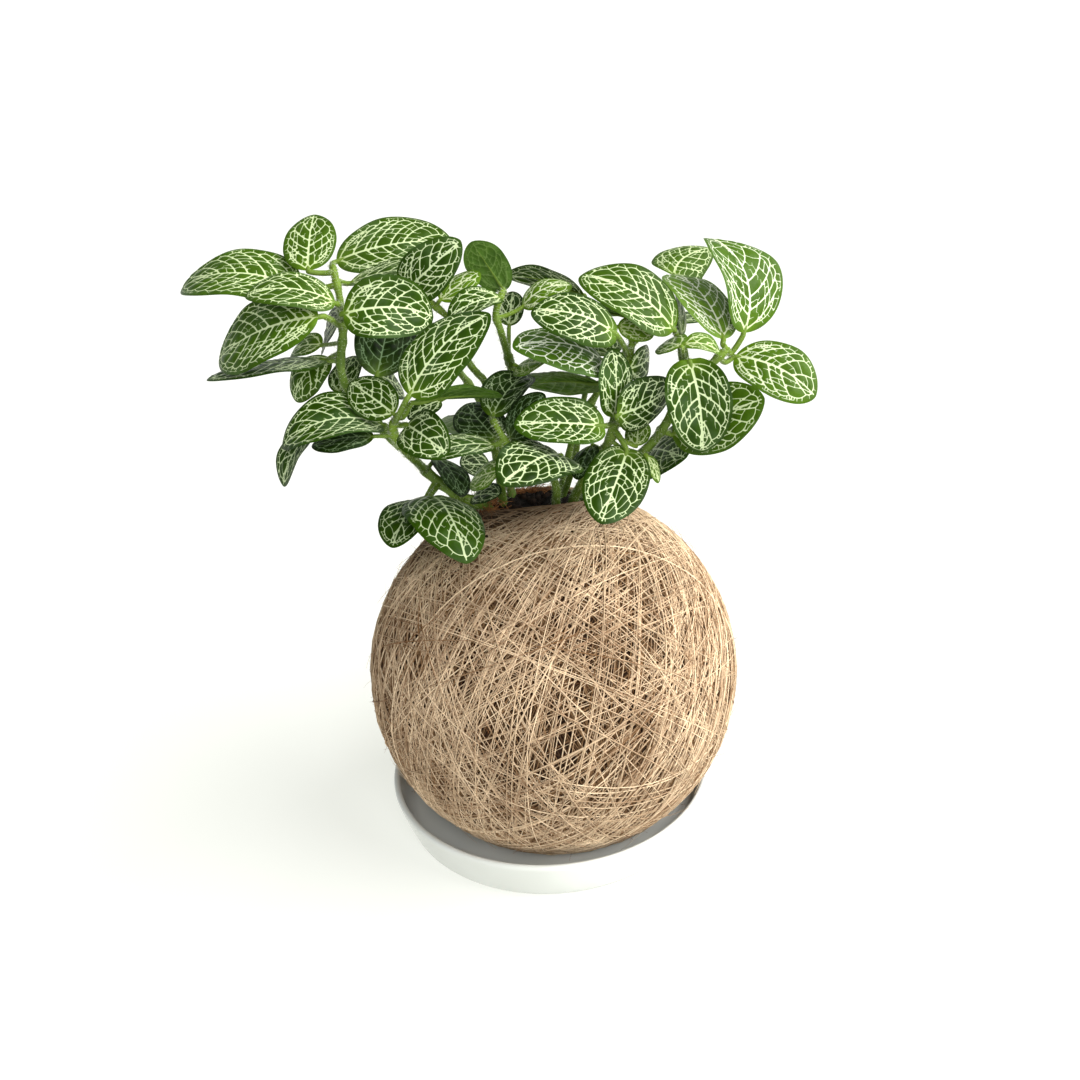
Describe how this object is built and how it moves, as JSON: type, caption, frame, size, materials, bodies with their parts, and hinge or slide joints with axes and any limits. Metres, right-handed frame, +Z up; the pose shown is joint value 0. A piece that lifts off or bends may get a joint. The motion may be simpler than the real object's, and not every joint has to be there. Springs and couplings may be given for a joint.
{
  "type": "kokedama moss ball plant",
  "caption": "Small net-veined foliage plant growing from a thread-wound coir and soil ball that stands in a shallow glazed saucer.",
  "frame": {"origin": "centre of the saucer's flat underside, on the table", "axes": "+Z up; the camera of the picture looks along +Y and a little down, so +X is to the right in the picture"},
  "size_m": [0.1759, 0.125, 0.1942],
  "materials": {
    "glazed_ceramic": "glossy white glaze",
    "jute_thread": "dry tan plant-fibre thread",
    "coir": "brown coconut fibre, matte",
    "soil": "dark damp potting soil",
    "green_stem": "soft hairy green stem",
    "leaf": "satin dark green with white net veins"
  },
  "bodies": {
    "root": {"saucer": "glazed_ceramic", "thread_winding": "jute_thread", "coir_layer": "coir", "soil_core": "soil", "shoot_left": "green_stem", "shoot_middle": "green_stem", "shoot_back_middle": "green_stem", "shoot_centre": "green_stem", "shoot_right": "green_stem", "shoot_front": "green_stem", "shoot_back_left": "green_stem", "shoot_back_right": "green_stem", "leaf_left_1": "leaf", "leaf_left_2": "leaf", "leaf_left_3": "leaf", "leaf_left_4": "leaf", "leaf_left_5": "leaf", "leaf_middle_1": "leaf", "leaf_left_6": "leaf", "leaf_left_7": "leaf", "leaf_left_8": "leaf", "leaf_left_9": "leaf", "leaf_middle_2": "leaf", "leaf_left_10": "leaf", "leaf_left_11": "leaf", "leaf_left_12": "leaf", "leaf_left_13": "leaf", "leaf_left_14": "leaf", "leaf_left_15": "leaf", "leaf_left_16": "leaf", "leaf_left_17": "leaf", "leaf_front_1": "leaf", "leaf_front_2": "leaf", "leaf_left_18": "leaf", "leaf_middle_3": "leaf", "leaf_back_middle_1": "leaf", "leaf_middle_4": "leaf", "leaf_centre_1": "leaf", "leaf_centre_2": "leaf", "leaf_right_1": "leaf", "leaf_right_2": "leaf", "leaf_right_3": "leaf", "leaf_right_4": "leaf", "leaf_right_5": "leaf", "leaf_right_6": "leaf", "leaf_right_7": "leaf", "leaf_right_8": "leaf", "leaf_centre_3": "leaf", "leaf_centre_4": "leaf", "leaf_centre_5": "leaf", "leaf_front_3": "leaf", "leaf_centre_6": "leaf", "leaf_centre_7": "leaf", "leaf_back_right_1": "leaf", "leaf_back_left_1": "leaf", "leaf_back_right_2": "leaf", "leaf_back_left_2": "leaf", "leaf_back_right_3": "leaf", "leaf_back_right_4": "leaf", "leaf_back_right_5": "leaf"}
  },
  "joints": []
}
